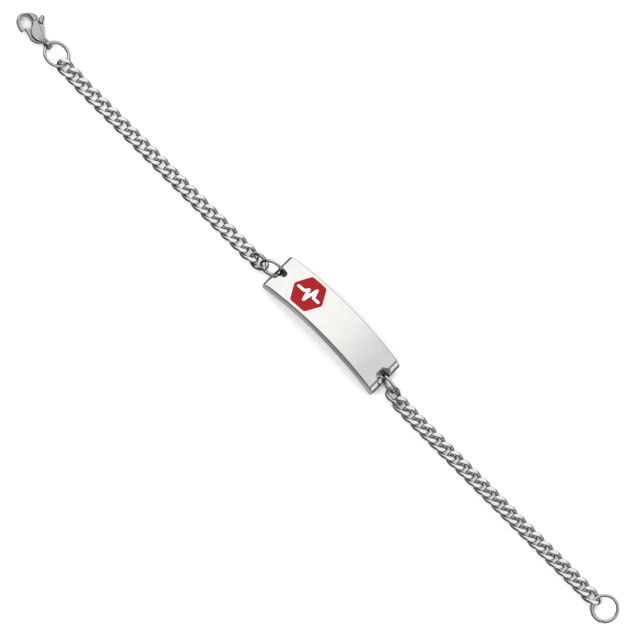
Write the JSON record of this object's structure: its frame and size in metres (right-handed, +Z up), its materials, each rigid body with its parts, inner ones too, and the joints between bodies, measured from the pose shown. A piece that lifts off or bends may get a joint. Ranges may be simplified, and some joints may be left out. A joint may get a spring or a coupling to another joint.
{
  "type": "medical alert bracelet",
  "caption": "Stainless steel medical alert bracelet laid open: arched identity plate with a red enamel badge, curb chains on rings, a thumb-lever clasp and a closing ring.",
  "frame": {"origin": "centre of the bounding box at the surface that the bracelet lies on", "axes": "+X along the open bracelet from the clasp to the closing ring, +Y across the identity plate to its back edge, +Z up"},
  "size_m": [0.2156, 0.0108, 0.0081],
  "materials": {
    "polished_steel": "polished stainless steel",
    "chain_steel": "polished stainless steel, faces ground flat",
    "red_enamel": "gloss resin enamel",
    "white_line": "gloss"
  },
  "bodies": {
    "bracelet": {"id_plate": "polished_steel", "emblem_enamel": "red_enamel", "pulse_line": "white_line", "plate_ring_left": "polished_steel", "plate_ring_right": "polished_steel", "chain_left": "chain_steel", "chain_right": "chain_steel", "clasp_ring": "polished_steel", "clasp_body": "polished_steel", "clasp_pin": "polished_steel", "end_ring": "polished_steel"},
    "lever": {"clasp_lever": "polished_steel"}
  },
  "joints": [
    {"name": "clasp_lever_hinge", "type": "hinge", "parent": "bracelet", "child": "lever", "pos_m": [-0.09956, -0.00029, 0.00115], "axis": [0, 0, -1], "range_deg": [0, 25], "stiffness_Nm_per_rad": 0.004, "springref_deg": -11.46}
  ]
}
